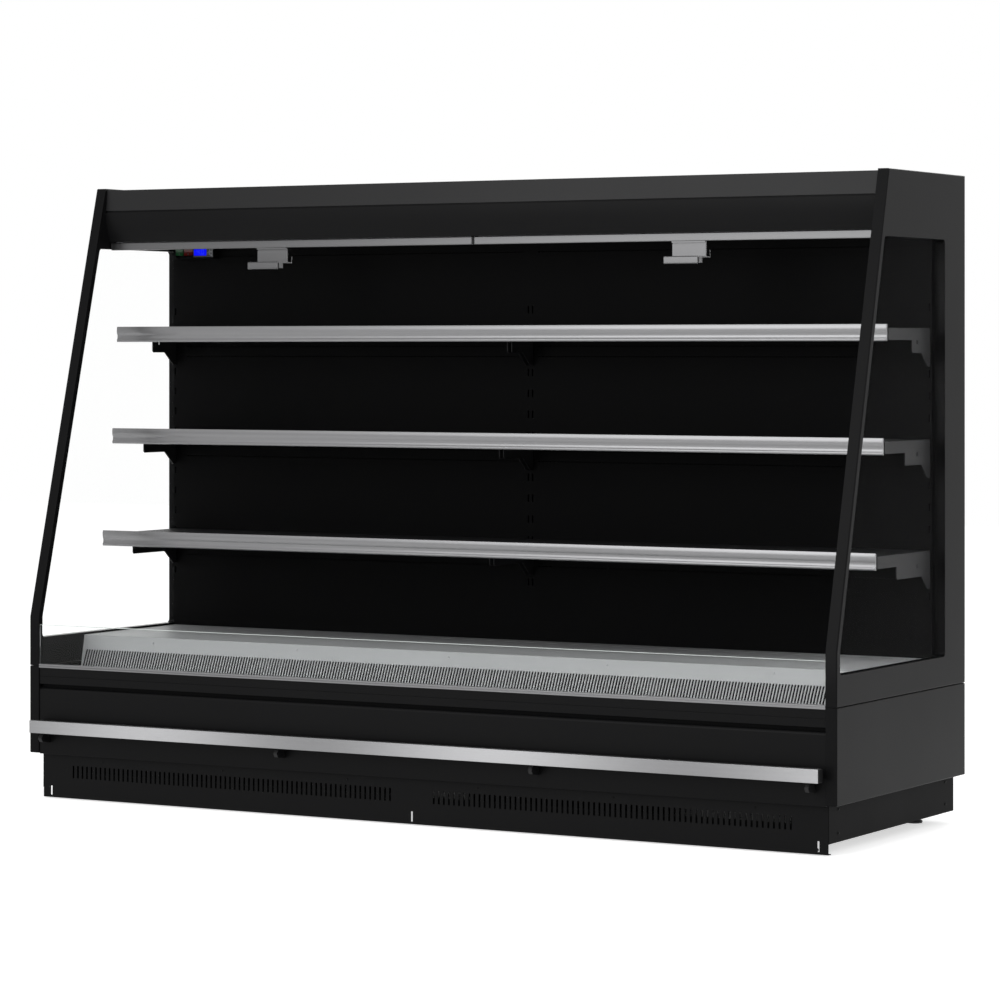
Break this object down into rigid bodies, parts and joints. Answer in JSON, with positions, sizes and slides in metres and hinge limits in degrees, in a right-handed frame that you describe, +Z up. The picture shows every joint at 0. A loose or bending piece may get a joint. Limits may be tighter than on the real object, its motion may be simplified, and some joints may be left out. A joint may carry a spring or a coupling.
{
  "type": "open multideck display fridge",
  "caption": "Black open-front refrigerated display case with slanted glazed ends, hooked shelves with price rails, pull-down night blinds, riser glass, bumper bar and a vented kick plate.",
  "frame": {"origin": "centre of the case's overall box, on the floor under the feet", "axes": "+X to the right along the case seen from the front, -Y out of the open front, +Z up"},
  "size_m": [2.222, 0.764, 1.538],
  "materials": {
    "black_steel": "satin",
    "black_panel": "satin",
    "charcoal_steel": "matte",
    "white_steel": "satin",
    "grey_steel": "satin",
    "white_liner": "satin",
    "zinc_steel": "satin",
    "brushed_bumper": "satin",
    "aluminium": "satin",
    "coil_aluminium": "satin",
    "copper": "satin",
    "clear_glass": "gloss",
    "lamp_cover": "satin",
    "black_plastic": "satin",
    "grey_plastic": "satin",
    "white_plastic": "satin",
    "green_plastic": "gloss",
    "red_plastic": "gloss",
    "shade_fabric": "matte"
  },
  "bodies": {
    "case": {"end_panel_left": "black_panel", "end_panel_right": "black_panel", "end_frame_left": "black_panel", "end_frame_right": "black_panel", "end_glass": "clear_glass", "base_frame": "black_steel", "floor_sheet": "black_steel", "base_posts": "black_steel", "levelling_feet": "black_plastic", "kick_plate": "black_steel", "plinth_panels": "black_steel", "compressor": "black_steel", "condenser": "coil_aluminium", "fan_motors": "black_plastic", "refrigerant_pipes": "copper", "condensate_tray": "grey_plastic", "electrical_box": "grey_plastic", "front_panel": "black_steel", "front_top_panel": "black_steel", "glass_rail": "aluminium", "riser_glass": "clear_glass", "bumper_bar": "brushed_bumper", "bumper_brackets": "black_plastic", "insulated_tub": "white_liner", "evaporator_coil": "coil_aluminium", "fan_plate": "charcoal_steel", "air_return_grille": "grey_steel", "deck_trays": "grey_steel", "back_wall": "white_steel", "shelf_uprights": "charcoal_steel", "back_panels": "charcoal_steel", "shelf_bottom": "charcoal_steel", "shelf_middle": "charcoal_steel", "shelf_top": "charcoal_steel", "ticket_rail_bottom": "aluminium", "ticket_rail_middle": "aluminium", "ticket_rail_top": "aluminium", "canopy_top": "black_steel", "canopy_fascia": "black_steel", "ceiling_panel": "charcoal_steel", "air_honeycomb": "black_plastic", "lamp": "lamp_cover", "blind_brackets": "black_steel", "control_box": "black_plastic", "controller": "black_plastic"},
    "blind_left": {"blind_bar_left": "aluminium", "blind_curtain_left": "shade_fabric"},
    "blind_right": {"blind_bar_right": "aluminium", "blind_curtain_right": "shade_fabric"},
    "roller_left": {"blind_roller_left": "shade_fabric"},
    "roller_right": {"blind_roller_right": "shade_fabric"},
    "lamp_rocker": {"lamp_switch": "green_plastic"},
    "power_rocker": {"power_switch": "red_plastic"},
    "set_button": {"button_set": "white_plastic"},
    "up_button": {"button_up": "white_plastic"},
    "down_button": {"button_down": "white_plastic"},
    "defrost_button": {"button_defrost": "white_plastic"},
    "fan_left": {"evaporator_fan_left": "black_plastic"},
    "fan_right": {"evaporator_fan_right": "black_plastic"},
    "condenser_fan_rotor": {"condenser_fan": "black_plastic"}
  },
  "joints": [
    {"name": "blind_left_pull", "type": "slide", "parent": "case", "child": "blind_left", "axis": [0, -0.2899, -0.957], "range_m": [0, 0.9264], "stiffness_N_per_m": 8, "springref_m": -1, "deforming": ["blind_curtain_left"]},
    {"name": "blind_left_roll", "type": "hinge", "parent": "case", "child": "roller_left", "pos_m": [-0.5415, -0.005, 1.44], "axis": [1, 0, 0], "range_deg": [0, 2195]},
    {"name": "blind_right_pull", "type": "slide", "parent": "case", "child": "blind_right", "axis": [0, -0.2899, -0.957], "range_m": [0, 0.9264], "stiffness_N_per_m": 8, "springref_m": -1, "deforming": ["blind_curtain_right"]},
    {"name": "blind_right_roll", "type": "hinge", "parent": "case", "child": "roller_right", "pos_m": [0.5415, -0.005, 1.44], "axis": [1, 0, 0], "range_deg": [0, 2195]},
    {"name": "lamp_rocker_press", "type": "hinge", "parent": "case", "child": "lamp_rocker", "pos_m": [-1.04475, 0.223, 1.38075], "axis": [1, 0, 0], "range_deg": [0, 16]},
    {"name": "power_rocker_press", "type": "hinge", "parent": "case", "child": "power_rocker", "pos_m": [-1.0165, 0.223, 1.38075], "axis": [1, 0, 0], "range_deg": [0, 16]},
    {"name": "set_press", "type": "slide", "parent": "case", "child": "set_button", "axis": [0, 1, 0], "range_m": [0, 0.0006], "stiffness_N_per_m": 400, "springref_m": -0.0002},
    {"name": "up_press", "type": "slide", "parent": "case", "child": "up_button", "axis": [0, 1, 0], "range_m": [0, 0.0006], "stiffness_N_per_m": 400, "springref_m": -0.0002},
    {"name": "defrost_press", "type": "slide", "parent": "case", "child": "defrost_button", "axis": [0, 1, 0], "range_m": [0, 0.0006], "stiffness_N_per_m": 400, "springref_m": -0.0002},
    {"name": "down_press", "type": "slide", "parent": "case", "child": "down_button", "axis": [0, 1, 0], "range_m": [0, 0.0006], "stiffness_N_per_m": 400, "springref_m": -0.0002},
    {"name": "fan_left_spin", "type": "hinge", "parent": "case", "child": "fan_left", "pos_m": [-0.54, -0.118, 0.33325], "axis": [0, 1, 0], "continuous": true},
    {"name": "fan_right_spin", "type": "hinge", "parent": "case", "child": "fan_right", "pos_m": [0.54, -0.118, 0.33325], "axis": [0, 1, 0], "continuous": true},
    {"name": "condenser_fan_spin", "type": "hinge", "parent": "case", "child": "condenser_fan_rotor", "pos_m": [0.385, -0.211, 0.1435], "axis": [0, 1, 0], "continuous": true}
  ],
  "couplings": [
    {"joint": "blind_left_roll", "follows": "blind_left_pull", "rad_per_m": 40.984},
    {"joint": "blind_right_roll", "follows": "blind_right_pull", "rad_per_m": 40.984}
  ]
}
